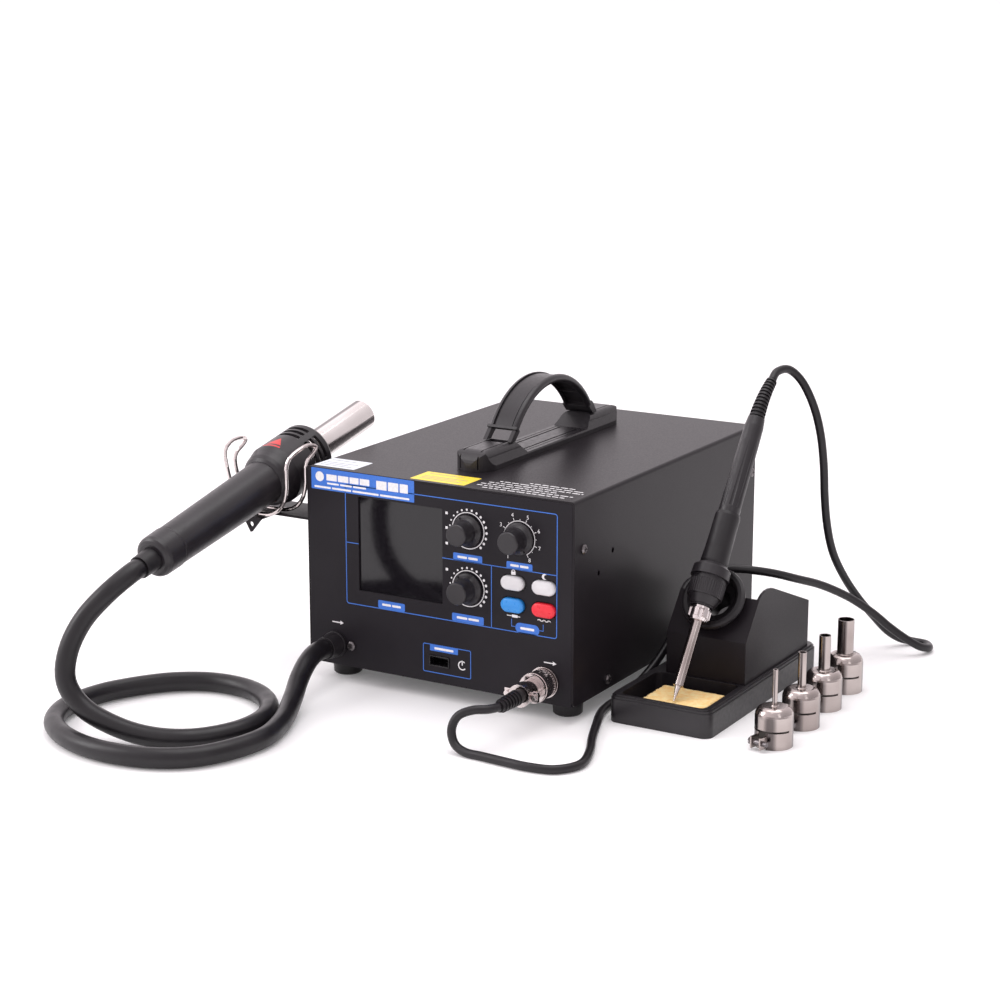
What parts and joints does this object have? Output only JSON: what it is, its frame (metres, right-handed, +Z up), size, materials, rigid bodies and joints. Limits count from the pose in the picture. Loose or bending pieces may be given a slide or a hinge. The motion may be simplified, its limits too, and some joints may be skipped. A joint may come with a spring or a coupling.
{
  "type": "hot air soldering station",
  "caption": "Bench rework station: steel case with display, knobs, buttons and carrying handle, hot air gun in a wire cradle, soldering iron on a stand, and spare nozzles.",
  "frame": {"origin": "centre of the footprint of everything but the cords, on the bench", "axes": "+X to the right seen from the front, +Y from the front panel to the back, +Z up"},
  "size_m": [0.405, 0.4455, 0.1914],
  "materials": {
    "case_black": "fine matt black powder coat",
    "panel_black": "fine matt black powder coat with printed lines",
    "steel_bright": "bright plated",
    "nickel": "satin nickel",
    "zinc_screw": "zinc plated",
    "black_plastic": "fine texture",
    "black_gloss": "smooth",
    "black_rubber": "matt",
    "window_smoke": "smoked, polished",
    "grey_plastic": "satin",
    "blue_plastic": "satin",
    "red_plastic": "satin",
    "board_green": "solder mask",
    "brass": "turned",
    "core_steel": "varnished laminations",
    "copper_coil": "taped winding",
    "pump_alu": "die cast",
    "silicone_tube": "translucent silicone",
    "ceramic_core": "unglazed",
    "sponge_yellow": "cellulose sponge, open pores",
    "tip_iron": "plated"
  },
  "bodies": {
    "station": {"chassis": "panel_black", "top_cover": "case_black", "rubber_feet": "black_rubber", "fixing_screws": "zinc_screw", "display_window": "window_smoke", "display_board": "board_green", "main_board": "board_green", "board_standoffs": "brass", "transformer_core": "core_steel", "transformer_coil": "copper_coil", "pump_body": "pump_alu", "pump_mounts": "black_rubber", "air_tube": "silicone_tube", "potentiometers": "zinc_screw", "charging_port": "black_gloss", "iron_socket": "steel_bright", "air_outlet": "black_plastic", "power_inlet": "black_plastic", "gun_bracket": "case_black", "wire_cradle": "steel_bright", "handle_base": "black_plastic", "handle_bow": "black_plastic", "air_hose": "black_rubber", "iron_lead": "black_rubber", "plug_body": "steel_bright", "plug_boot": "black_rubber", "stand_base": "black_plastic", "stand_holder": "case_black", "holder_bell": "black_rubber", "sponge": "sponge_yellow"},
    "temp_knob_upper": {"temp_knob_upper": "black_plastic"},
    "temp_knob_lower": {"temp_knob_lower": "black_plastic"},
    "air_knob": {"air_knob": "black_plastic"},
    "lock_button": {"lock_button": "grey_plastic"},
    "sleep_button": {"sleep_button": "grey_plastic"},
    "iron_power_button": {"iron_power_button": "blue_plastic"},
    "air_power_button": {"air_power_button": "red_plastic"},
    "power_rocker": {"power_rocker": "red_plastic"},
    "plug_ring": {"plug_ring": "steel_bright"},
    "air_gun": {"gun_handle": "black_plastic", "gun_head": "black_plastic", "gun_tube": "nickel", "gun_heater": "ceramic_core", "hose_cuff": "black_rubber"},
    "iron": {"iron_handle": "black_plastic", "iron_grip": "black_rubber", "iron_collar": "black_plastic", "iron_sleeve": "nickel", "iron_heater": "ceramic_core", "iron_tip": "tip_iron", "iron_strain_relief": "black_rubber"},
    "iron_nut": {"iron_nut": "steel_bright"},
    "nozzle_3mm": {"nozzle_3mm": "nickel"},
    "clamp_screw_3mm": {"clamp_screw_3mm": "zinc_screw"},
    "nozzle_5mm": {"nozzle_5mm": "nickel"},
    "clamp_screw_5mm": {"clamp_screw_5mm": "zinc_screw"},
    "nozzle_7mm": {"nozzle_7mm": "nickel"},
    "clamp_screw_7mm": {"clamp_screw_7mm": "zinc_screw"},
    "nozzle_10mm": {"nozzle_10mm": "nickel"},
    "clamp_screw_10mm": {"clamp_screw_10mm": "zinc_screw"}
  },
  "joints": [
    {"name": "temp_knob_upper_turn", "type": "hinge", "parent": "station", "child": "temp_knob_upper", "pos_m": [-0.007, -0.066, 0.109], "axis": [0, 1, 0], "range_deg": [0, 270]},
    {"name": "temp_knob_lower_turn", "type": "hinge", "parent": "station", "child": "temp_knob_lower", "pos_m": [-0.007, -0.066, 0.0735], "axis": [0, 1, 0], "range_deg": [0, 270]},
    {"name": "air_knob_turn", "type": "hinge", "parent": "station", "child": "air_knob", "pos_m": [0.028, -0.066, 0.109], "axis": [0, 1, 0], "range_deg": [0, 270]},
    {"name": "lock_button_press", "type": "slide", "parent": "station", "child": "lock_button", "axis": [0, 1, 0], "range_m": [0, 0.0015], "stiffness_N_per_m": 400},
    {"name": "sleep_button_press", "type": "slide", "parent": "station", "child": "sleep_button", "axis": [0, 1, 0], "range_m": [0, 0.0015], "stiffness_N_per_m": 400},
    {"name": "iron_power_button_press", "type": "slide", "parent": "station", "child": "iron_power_button", "axis": [0, 1, 0], "range_m": [0, 0.0015], "stiffness_N_per_m": 400},
    {"name": "air_power_button_press", "type": "slide", "parent": "station", "child": "air_power_button", "axis": [0, 1, 0], "range_m": [0, 0.0015], "stiffness_N_per_m": 400},
    {"name": "power_rocker_tilt", "type": "hinge", "parent": "station", "child": "power_rocker", "pos_m": [-0.084, 0.181, 0.077], "axis": [1, 0, 0], "range_deg": [0, 16]},
    {"name": "plug_ring_turn", "type": "hinge", "parent": "station", "child": "plug_ring", "pos_m": [0.0457, -0.074, 0.0243], "axis": [0, 1, 0], "range_deg": [0, 180]},
    {"name": "air_gun_lift", "type": "slide", "parent": "station", "child": "air_gun", "axis": [0, 0, 1], "range_m": [0, 0.08], "deforming": ["air_hose"]},
    {"name": "iron_lift", "type": "slide", "parent": "station", "child": "iron", "axis": [0, 0, 1], "range_m": [0, 0.1], "deforming": ["iron_lead"]},
    {"name": "iron_nut_turn", "type": "hinge", "parent": "iron", "child": "iron_nut", "pos_m": [0.1146, -0.00296, 0.05988], "axis": [0, 0.5807, 0.8141], "range_deg": [0, 180]},
    {"name": "nozzle_3mm_lift", "type": "slide", "parent": "station", "child": "nozzle_3mm", "axis": [0, 0, 1], "range_m": [0, 0.06]},
    {"name": "clamp_screw_3mm_turn", "type": "hinge", "parent": "nozzle_3mm", "child": "clamp_screw_3mm", "pos_m": [0.17472, -0.04896, 0.005], "axis": [-0.9703, 0.2419, 0], "range_deg": [0, 180]},
    {"name": "nozzle_5mm_lift", "type": "slide", "parent": "station", "child": "nozzle_5mm", "axis": [0, 0, 1], "range_m": [0, 0.06]},
    {"name": "clamp_screw_5mm_turn", "type": "hinge", "parent": "nozzle_5mm", "child": "clamp_screw_5mm", "pos_m": [0.17492, -0.01086, 0.005], "axis": [-0.9703, 0.2419, 0], "range_deg": [0, 180]},
    {"name": "nozzle_7mm_lift", "type": "slide", "parent": "station", "child": "nozzle_7mm", "axis": [0, 0, 1], "range_m": [0, 0.06]},
    {"name": "clamp_screw_7mm_turn", "type": "hinge", "parent": "nozzle_7mm", "child": "clamp_screw_7mm", "pos_m": [0.17322, 0.02684, 0.005], "axis": [-0.9703, 0.2419, 0], "range_deg": [0, 180]},
    {"name": "nozzle_10mm_lift", "type": "slide", "parent": "station", "child": "nozzle_10mm", "axis": [0, 0, 1], "range_m": [0, 0.06]},
    {"name": "clamp_screw_10mm_turn", "type": "hinge", "parent": "nozzle_10mm", "child": "clamp_screw_10mm", "pos_m": [0.17142, 0.06414, 0.005], "axis": [-0.9703, 0.2419, 0], "range_deg": [0, 180]}
  ]
}
